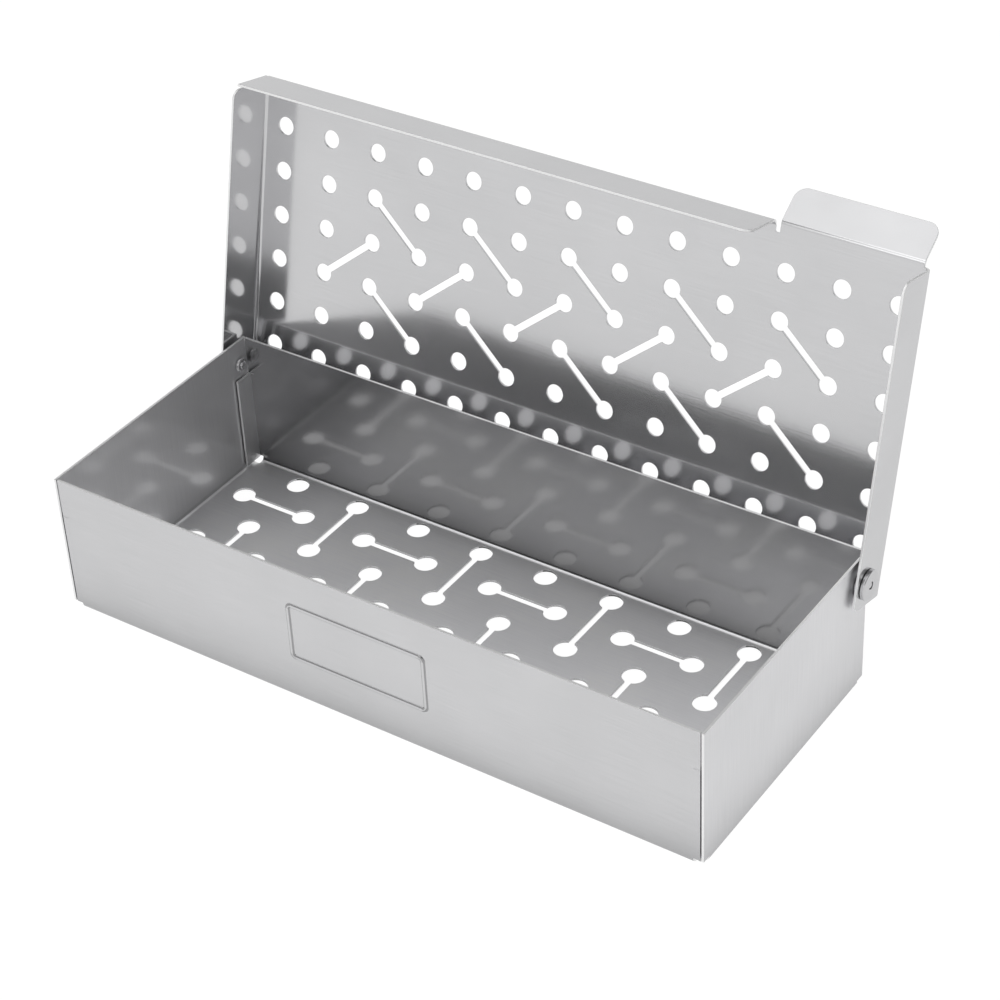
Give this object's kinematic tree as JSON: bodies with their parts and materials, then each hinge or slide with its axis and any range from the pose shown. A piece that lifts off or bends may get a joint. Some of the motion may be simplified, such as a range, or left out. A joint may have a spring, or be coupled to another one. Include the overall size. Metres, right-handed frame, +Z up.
{
  "type": "grill smoker box",
  "caption": "Stainless steel smoker box for a grill: an open tray with a slotted, perforated floor and a perforated lid with a lift tab, hinged on rivets.",
  "frame": {"origin": "middle of the underside of the tray's floor", "axes": "+X along the tray towards the end with the lid's lift tab, +Y towards the hinge side, +Z up; the plain front wall faces -Y"},
  "size_m": [0.2444, 0.1361, 0.1427],
  "materials": {
    "tray_steel": "bright stainless sheet with a fine brushed grain, cloudy reflections",
    "lid_steel": "bright stainless sheet with a fine brushed grain, cloudy reflections",
    "rivet_steel": "plain bright steel, lightly tumbled"
  },
  "bodies": {
    "tray_body": {"tray": "tray_steel", "rivet_left": "rivet_steel", "rivet_right": "rivet_steel", "washer_left": "rivet_steel", "washer_right": "rivet_steel"},
    "lid_body": {"lid": "lid_steel"}
  },
  "joints": [
    {"name": "lid_hinge", "type": "hinge", "parent": "tray_body", "child": "lid_body", "pos_m": [0, 0.04395, 0.0418], "axis": [1, 0, 0], "range_deg": [-20.2, 104]}
  ]
}
